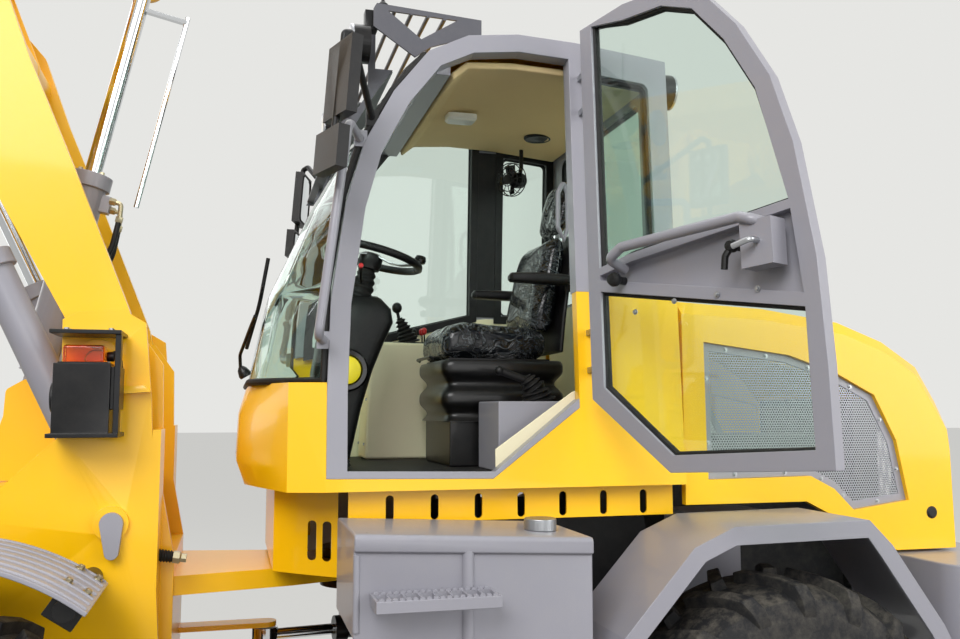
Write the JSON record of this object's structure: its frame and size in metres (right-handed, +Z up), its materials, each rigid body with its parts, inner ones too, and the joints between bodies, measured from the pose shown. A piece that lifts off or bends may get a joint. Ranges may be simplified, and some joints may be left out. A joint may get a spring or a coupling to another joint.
{
  "type": "compact wheel loader",
  "caption": "Articulated compact wheel loader with a raised boom, wide bucket, glazed cab with its door open, and a hinged engine hood.",
  "frame": {"origin": "on the ground under the articulation pin", "axes": "-X to the front, +X to the rear, -Y to the machine's left side with the door, +Z up"},
  "size_m": [5.7879, 2.58, 3.8658],
  "materials": {
    "yellow_paint": "gloss enamel",
    "grey_paint": "satin enamel",
    "black_paint": "satin enamel",
    "tyre_rubber": "matt",
    "clear_glass": "clear, slightly green",
    "rod_chrome": "polished",
    "zinc_steel": "zinc plated",
    "beige_plastic": "grained",
    "black_plastic": "grained",
    "seat_cover": "under clear film",
    "black_rubber": "matt"
  },
  "bodies": {
    "rear": {"rear_frame": "black_paint", "rear_axle": "yellow_paint", "engine_block": "black_paint", "counterweight": "grey_paint", "cab_frame": "grey_paint", "cab_lower_shell": "yellow_paint", "cab_floor": "black_rubber", "cab_roof": "yellow_paint", "ceiling_liner": "beige_plastic", "cab_glass": "clear_glass", "cab_skirts": "yellow_paint", "side_tanks": "grey_paint", "filler_caps": "zinc_steel", "side_steps": "black_paint", "rear_fenders": "grey_paint", "hood_hinges": "zinc_steel", "door_hinges": "zinc_steel", "handrails": "grey_paint", "mirrors": "black_plastic", "roof_guard": "grey_paint", "work_lamps": "black_plastic", "seat_base": "grey_paint", "seat_cushions": "seat_cover", "cab_consoles": "beige_plastic", "steering_column": "black_plastic"},
    "hood": {"hood_shell": "yellow_paint", "hood_grilles": "grey_paint"},
    "door": {"door_frame": "grey_paint", "door_glass": "clear_glass", "door_handle": "grey_paint"},
    "front": {"front_frame": "yellow_paint", "front_axle": "yellow_paint", "front_mudguards": "black_plastic", "mudguard_tubes": "black_paint", "tower_lamps": "black_plastic"},
    "boom": {"boom_arms": "yellow_paint"},
    "lift_barrel_pair": {"lift_barrels": "grey_paint"},
    "lift_rod_pair": {"lift_rods": "rod_chrome"},
    "tilt_barrel_body": {"tilt_barrel": "grey_paint"},
    "tilt_rod_body": {"tilt_rod": "rod_chrome"},
    "lever_shaft_body": {"lever_shaft": "zinc_steel"},
    "lever": {"tilt_lever": "yellow_paint"},
    "link_shaft_body": {"link_shaft": "zinc_steel"},
    "link": {"tilt_link": "yellow_paint"},
    "bucket_shaft_pair": {"bucket_shafts": "zinc_steel"},
    "bucket_body": {"bucket": "yellow_paint"},
    "steer_barrel_left_body": {"steer_barrel_left": "grey_paint"},
    "steer_rod_left_body": {"steer_rod_left": "rod_chrome"},
    "steer_barrel_right_body": {"steer_barrel_right": "grey_paint"},
    "steer_rod_right_body": {"steer_rod_right": "rod_chrome"},
    "wheel_front_left": {"front_left_tyre": "tyre_rubber", "front_left_rim": "grey_paint"},
    "wheel_front_right": {"front_right_tyre": "tyre_rubber", "front_right_rim": "grey_paint"},
    "wheel_rear_left": {"rear_left_tyre": "tyre_rubber", "rear_left_rim": "grey_paint"},
    "wheel_rear_right": {"rear_right_tyre": "tyre_rubber", "rear_right_rim": "grey_paint"}
  },
  "joints": [
    {"name": "steer", "type": "hinge", "parent": "rear", "child": "front", "pos_m": [0, 0, 0.74], "axis": [0, 0, 1], "range_deg": [-38, 38]},
    {"name": "boom_lift", "type": "hinge", "parent": "front", "child": "boom", "pos_m": [-0.822, 0, 1.702], "axis": [0, 1, 0], "range_deg": [-86, 2]},
    {"name": "bucket_level", "type": "hinge", "parent": "boom", "child": "bucket_shaft_pair", "pos_m": [-2.342, 0, 3.222], "axis": [0, 1, 0], "range_deg": [-2.5, 86.5]},
    {"name": "bucket_tilt", "type": "hinge", "parent": "bucket_shaft_pair", "child": "bucket_body", "pos_m": [-2.342, 0, 3.222], "axis": [0, 1, 0], "range_deg": [-45, 40]},
    {"name": "lift_barrel_swing", "type": "hinge", "parent": "front", "child": "lift_barrel_pair", "pos_m": [-0.771, 0, 1.229], "axis": [0, 1, 0], "range_deg": [-68.34, 2.08]},
    {"name": "lift_rod_slide", "type": "slide", "parent": "lift_barrel_pair", "child": "lift_rod_pair", "axis": [-0.4352, 0, 0.9003], "range_m": [-0.4921, 0.0134]},
    {"name": "tilt_barrel_swing", "type": "hinge", "parent": "front", "child": "tilt_barrel_body", "pos_m": [-1.092, 0, 1.595], "axis": [0, 1, 0], "range_deg": [-93.42, 2.66]},
    {"name": "tilt_rod_slide", "type": "slide", "parent": "tilt_barrel_body", "child": "tilt_rod_body", "axis": [0.2125, 0, 0.9772], "range_m": [-0.1184, 0.1055]},
    {"name": "lever_carry", "type": "hinge", "parent": "boom", "child": "lever_shaft_body", "pos_m": [-1.347, 0, 3.164], "axis": [0, 1, 0], "range_deg": [-39.22, 1.4]},
    {"name": "lever_tilt", "type": "hinge", "parent": "lever_shaft_body", "child": "lever", "pos_m": [-1.347, 0, 3.164], "axis": [0, 1, 0], "range_deg": [-11.87, 13.29]},
    {"name": "link_carry", "type": "hinge", "parent": "lever", "child": "link_shaft_body", "pos_m": [-1.555, 0, 2.937], "axis": [0, 1, 0], "range_deg": [-1.04, 23.72]},
    {"name": "link_tilt", "type": "hinge", "parent": "link_shaft_body", "child": "link", "pos_m": [-1.555, 0, 2.937], "axis": [0, 1, 0], "range_deg": [-10.4, 9.3]},
    {"name": "steer_barrel_left_swing", "type": "hinge", "parent": "rear", "child": "steer_barrel_left_body", "pos_m": [0.43, -0.262, 0.74], "axis": [0, 0, 1], "range_deg": [-14.52, 14.52]},
    {"name": "steer_rod_left_slide", "type": "slide", "parent": "steer_barrel_left_body", "child": "steer_rod_left_body", "axis": [-0.993, 0.1183, 0], "range_m": [-0.1382, 0.1382]},
    {"name": "steer_barrel_right_swing", "type": "hinge", "parent": "rear", "child": "steer_barrel_right_body", "pos_m": [0.43, 0.262, 0.74], "axis": [0, 0, 1], "range_deg": [-14.52, 14.52]},
    {"name": "steer_rod_right_slide", "type": "slide", "parent": "steer_barrel_right_body", "child": "steer_rod_right_body", "axis": [-0.993, -0.1183, 0], "range_m": [-0.1382, 0.1382]},
    {"name": "door_swing", "type": "hinge", "parent": "rear", "child": "door", "pos_m": [0.668, -0.6919, 1.38327], "axis": [0, 0.0628, 0.998], "range_deg": [-112, 58]},
    {"name": "hood_open", "type": "hinge", "parent": "rear", "child": "hood", "pos_m": [1.012, 0, 1.95], "axis": [0, -1, 0], "range_deg": [0, 55]},
    {"name": "wheel_front_left_spin", "type": "hinge", "parent": "front", "child": "wheel_front_left", "pos_m": [-1.18, -0.785, 0.537], "axis": [0, 1, 0], "continuous": true},
    {"name": "wheel_front_right_spin", "type": "hinge", "parent": "front", "child": "wheel_front_right", "pos_m": [-1.18, 0.785, 0.537], "axis": [0, 1, 0], "continuous": true},
    {"name": "wheel_rear_left_spin", "type": "hinge", "parent": "rear", "child": "wheel_rear_left", "pos_m": [1.18, -0.785, 0.537], "axis": [0, 1, 0], "continuous": true},
    {"name": "wheel_rear_right_spin", "type": "hinge", "parent": "rear", "child": "wheel_rear_right", "pos_m": [1.18, 0.785, 0.537], "axis": [0, 1, 0], "continuous": true}
  ],
  "couplings": [
    {"joint": "bucket_level", "follows": "boom_lift", "ratio": -1},
    {"joint": "lift_barrel_swing", "follows": "boom_lift", "ratio": 0.7889},
    {"joint": "lift_rod_slide", "follows": "boom_lift", "m_per_rad": 0.3265},
    {"joint": "tilt_barrel_swing", "follows": "boom_lift", "ratio": 1.0805},
    {"joint": "tilt_rod_slide", "follows": "bucket_tilt", "m_per_rad": 0.1482},
    {"joint": "lever_carry", "follows": "boom_lift", "ratio": 0.4502},
    {"joint": "lever_tilt", "follows": "bucket_tilt", "ratio": -0.2843},
    {"joint": "link_carry", "follows": "boom_lift", "ratio": -0.27},
    {"joint": "link_tilt", "follows": "bucket_tilt", "ratio": 0.22},
    {"joint": "steer_barrel_left_swing", "follows": "steer", "ratio": 0.369},
    {"joint": "steer_rod_left_slide", "follows": "steer", "m_per_rad": -0.20539},
    {"joint": "steer_barrel_right_swing", "follows": "steer", "ratio": 0.369},
    {"joint": "steer_rod_right_slide", "follows": "steer", "m_per_rad": 0.20539}
  ]
}
